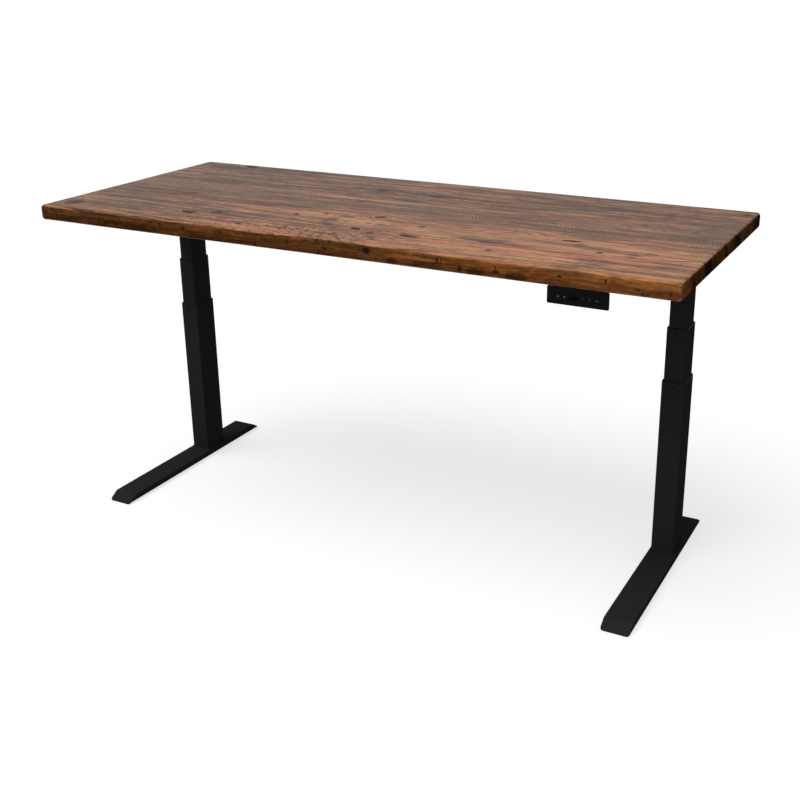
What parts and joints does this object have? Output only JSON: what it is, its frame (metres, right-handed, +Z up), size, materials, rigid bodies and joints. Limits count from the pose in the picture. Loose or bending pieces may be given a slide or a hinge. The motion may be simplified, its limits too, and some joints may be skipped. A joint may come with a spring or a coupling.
{
  "type": "height adjustable standing desk",
  "caption": "Height adjustable standing desk: thick wooden desktop on two telescoping three-stage steel columns with flat feet, joined by a crossbar, with a keypad under the front edge.",
  "frame": {"origin": "on the floor under the middle of the desktop", "axes": "+X to the right of a person who sits at the desk, +Y away from that person, +Z up"},
  "size_m": [1.8288, 0.762, 0.925],
  "materials": {
    "wood": "satin lacquer",
    "black_steel": "matte powder coat",
    "zinc_steel": "zinc plated",
    "blackened_screw": "satin",
    "lift_screw": "rolled and greased",
    "gearbox_casting": "satin",
    "motor_can": "satin",
    "black_plastic": "fine grain",
    "handset_plastic": "fine grain",
    "key_plastic": "fine grain",
    "display_window": "gloss",
    "guide_plastic": "satin",
    "nut_plastic": "satin",
    "socket_plastic": "satin",
    "circuit_board": "gloss",
    "rubber": "matte"
  },
  "bodies": {
    "left_base": {"left_outer_tube": "black_steel", "left_outer_collar": "guide_plastic", "left_outer_collar_screw": "blackened_screw", "left_fixed_screw": "lift_screw", "left_foot": "black_steel", "left_foot_bolts": "zinc_steel"},
    "left_middle": {"left_middle_tube": "black_steel", "left_middle_collar": "guide_plastic", "left_middle_collar_screw": "blackened_screw", "left_middle_end_plate": "guide_plastic"},
    "top": {"desktop": "wood", "wood_screws": "zinc_steel", "arm_pads": "rubber", "crossbar_rails": "black_steel", "frame_bolts": "zinc_steel", "control_box_case": "black_plastic", "control_box_base": "black_plastic", "control_board": "circuit_board", "power_inlet": "black_plastic", "cable_sockets": "socket_plastic", "handset_panel": "handset_plastic", "handset_display": "display_window", "handset_case": "black_plastic", "handset_board": "circuit_board", "left_arm": "black_steel", "left_gearbox": "gearbox_casting", "left_motor": "motor_can", "left_frame_end": "black_steel", "left_inner_tube": "black_steel", "left_inner_nut": "nut_plastic", "right_arm": "black_steel", "right_gearbox": "gearbox_casting", "right_motor": "motor_can", "right_frame_end": "black_steel", "right_inner_tube": "black_steel", "right_inner_nut": "nut_plastic"},
    "right_middle": {"right_middle_tube": "black_steel", "right_middle_collar": "guide_plastic", "right_middle_collar_screw": "blackened_screw", "right_middle_end_plate": "guide_plastic"},
    "right_base": {"right_outer_tube": "black_steel", "right_outer_collar": "guide_plastic", "right_outer_collar_screw": "blackened_screw", "right_fixed_screw": "lift_screw", "right_foot": "black_steel", "right_foot_bolts": "zinc_steel"},
    "left_lift_screw": {"left_hollow_screw": "lift_screw"},
    "left_rod": {"left_drive_rod": "lift_screw"},
    "left_front_foot_pad": {"left_front_glide": "rubber"},
    "left_rear_foot_pad": {"left_rear_glide": "rubber"},
    "right_lift_screw": {"right_hollow_screw": "lift_screw"},
    "right_rod": {"right_drive_rod": "lift_screw"},
    "right_front_foot_pad": {"right_front_glide": "rubber"},
    "right_rear_foot_pad": {"right_rear_glide": "rubber"},
    "up_key_body": {"up_key": "key_plastic"},
    "down_key_body": {"down_key": "key_plastic"},
    "preset_1_key_body": {"preset_1_key": "key_plastic"},
    "preset_2_key_body": {"preset_2_key": "key_plastic"},
    "memory_key_body": {"memory_key": "key_plastic"}
  },
  "joints": [
    {"name": "left_lower_lift", "type": "slide", "parent": "left_base", "child": "left_middle", "axis": [0, 0, 1], "range_m": [-0.14, 0.185]},
    {"name": "left_upper_lift", "type": "slide", "parent": "left_middle", "child": "top", "axis": [0, 0, 1], "range_m": [-0.14, 0.185]},
    {"name": "right_upper_lift", "type": "slide", "parent": "top", "child": "right_middle", "axis": [0, 0, -1], "range_m": [-0.14, 0.185]},
    {"name": "right_lower_lift", "type": "slide", "parent": "right_middle", "child": "right_base", "axis": [0, 0, -1], "range_m": [-0.14, 0.185]},
    {"name": "left_rod_turn", "type": "hinge", "parent": "top", "child": "left_rod", "pos_m": [-0.7904, 0.11, 0.818], "axis": [0, 0, 1], "range_deg": [-6301, 8326]},
    {"name": "left_screw_turn", "type": "hinge", "parent": "left_middle", "child": "left_lift_screw", "pos_m": [-0.7904, 0.11, 0.178], "axis": [0, 0, 1], "range_deg": [-6301, 8326]},
    {"name": "left_front_glide_screw", "type": "slide", "parent": "left_base", "child": "left_front_foot_pad", "axis": [0, 0, -1], "range_m": [0, 0.006]},
    {"name": "left_rear_glide_screw", "type": "slide", "parent": "left_base", "child": "left_rear_foot_pad", "axis": [0, 0, -1], "range_m": [0, 0.006]},
    {"name": "right_rod_turn", "type": "hinge", "parent": "top", "child": "right_rod", "pos_m": [0.7904, 0.11, 0.818], "axis": [0, 0, 1], "range_deg": [-6301, 8326]},
    {"name": "right_screw_turn", "type": "hinge", "parent": "right_middle", "child": "right_lift_screw", "pos_m": [0.7904, 0.11, 0.178], "axis": [0, 0, 1], "range_deg": [-6301, 8326]},
    {"name": "right_front_glide_screw", "type": "slide", "parent": "right_base", "child": "right_front_foot_pad", "axis": [0, 0, -1], "range_m": [0, 0.006]},
    {"name": "right_rear_glide_screw", "type": "slide", "parent": "right_base", "child": "right_rear_foot_pad", "axis": [0, 0, -1], "range_m": [0, 0.006]},
    {"name": "up_press", "type": "slide", "parent": "top", "child": "up_key_body", "axis": [0, 1, 0], "range_m": [0, 0.0005], "stiffness_N_per_m": 1500, "springref_m": -0.0004},
    {"name": "down_press", "type": "slide", "parent": "top", "child": "down_key_body", "axis": [0, 1, 0], "range_m": [0, 0.0005], "stiffness_N_per_m": 1500, "springref_m": -0.0004},
    {"name": "preset_1_press", "type": "slide", "parent": "top", "child": "preset_1_key_body", "axis": [0, 1, 0], "range_m": [0, 0.0005], "stiffness_N_per_m": 1500, "springref_m": -0.0004},
    {"name": "preset_2_press", "type": "slide", "parent": "top", "child": "preset_2_key_body", "axis": [0, 1, 0], "range_m": [0, 0.0005], "stiffness_N_per_m": 1500, "springref_m": -0.0004},
    {"name": "memory_press", "type": "slide", "parent": "top", "child": "memory_key_body", "axis": [0, 1, 0], "range_m": [0, 0.0005], "stiffness_N_per_m": 1500, "springref_m": -0.0004}
  ],
  "couplings": [
    {"joint": "left_upper_lift", "follows": "left_lower_lift", "ratio": 1},
    {"joint": "right_upper_lift", "follows": "left_lower_lift", "ratio": 1},
    {"joint": "right_lower_lift", "follows": "left_lower_lift", "ratio": 1},
    {"joint": "left_rod_turn", "follows": "left_lower_lift", "rad_per_m": 785.4},
    {"joint": "left_screw_turn", "follows": "left_lower_lift", "rad_per_m": 785.4},
    {"joint": "right_rod_turn", "follows": "left_lower_lift", "rad_per_m": 785.4},
    {"joint": "right_screw_turn", "follows": "left_lower_lift", "rad_per_m": 785.4}
  ]
}
